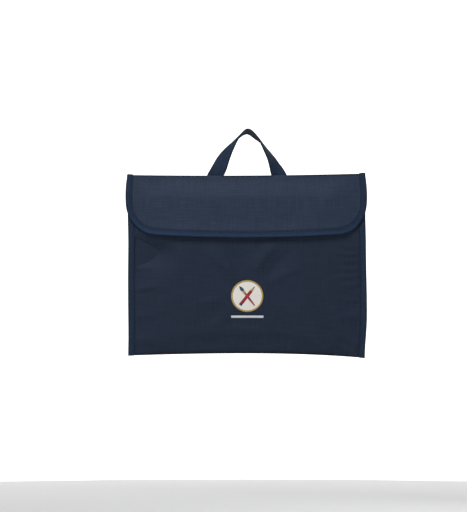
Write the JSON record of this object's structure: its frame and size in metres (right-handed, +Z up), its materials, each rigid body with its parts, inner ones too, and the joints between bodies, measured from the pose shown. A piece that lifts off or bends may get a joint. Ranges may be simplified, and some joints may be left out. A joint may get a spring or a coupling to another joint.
{
  "type": "portfolio case",
  "caption": "Flat cloth portfolio case with a bound fold-over flap, a folded base, bound side seams, hook and loop fastening and a short webbing carrying handle.",
  "frame": {"origin": "under the middle of the case, level with its base fold, at the middle of its thickness", "axes": "+Z up towards the handle, -Y out of the flap side, which is the front, +X to the right as the front is looked at"},
  "size_m": [0.4056, 0.0319, 0.3817],
  "materials": {
    "shell_cloth": "coated woven polyester, navy, low sheen",
    "lining_cloth": "plain woven nylon lining, dark navy",
    "binding_tape": "ribbed grosgrain tape, blue",
    "webbing": "ribbed flat webbing, blue",
    "loop_pile": "brushed loop tape, navy",
    "hook_tape": "moulded hook tape, navy",
    "thread": "polyester sewing thread, blue",
    "badge_ground_thread": "rayon embroidery thread, off-white",
    "badge_border_thread": "rayon embroidery thread, old gold satin stitch",
    "badge_motif_thread": "rayon embroidery thread, crimson satin stitch",
    "badge_bar_thread": "rayon embroidery thread, white satin stitch"
  },
  "bodies": {
    "case": {"front_panel": "shell_cloth", "back_panel": "shell_cloth", "base_fold": "shell_cloth", "top_fold": "shell_cloth", "left_side_binding": "binding_tape", "right_side_binding": "binding_tape", "mouth_binding": "binding_tape", "loop_strip_left": "loop_pile", "loop_strip_right": "loop_pile", "handle_patch_left": "lining_cloth", "handle_patch_right": "lining_cloth", "handle_end_left": "webbing", "handle_end_right": "webbing", "handle_stitches": "thread", "side_stitches": "thread", "mouth_stitches": "thread", "loop_strip_stitches": "thread", "badge_ground": "badge_ground_thread", "badge_border": "badge_border_thread", "badge_motif": "badge_motif_thread", "badge_bar": "badge_bar_thread"},
    "flap": {"flap_panel": "shell_cloth", "flap_lining": "lining_cloth", "flap_binding": "binding_tape", "flap_stitches": "thread", "hook_strip_left": "hook_tape", "hook_strip_right": "hook_tape", "hook_strip_stitches": "thread"},
    "handle": {"handle_loop": "webbing"}
  },
  "joints": [
    {"name": "flap_fold", "type": "hinge", "parent": "case", "child": "flap", "pos_m": [0, -0.00145, 0.2991], "axis": [-1, 0, 0], "range_deg": [0, 150]},
    {"name": "handle_swing", "type": "hinge", "parent": "case", "child": "handle", "pos_m": [0, 0.00425, 0.294], "axis": [-1, 0, 0], "range_deg": [0, 165]}
  ]
}
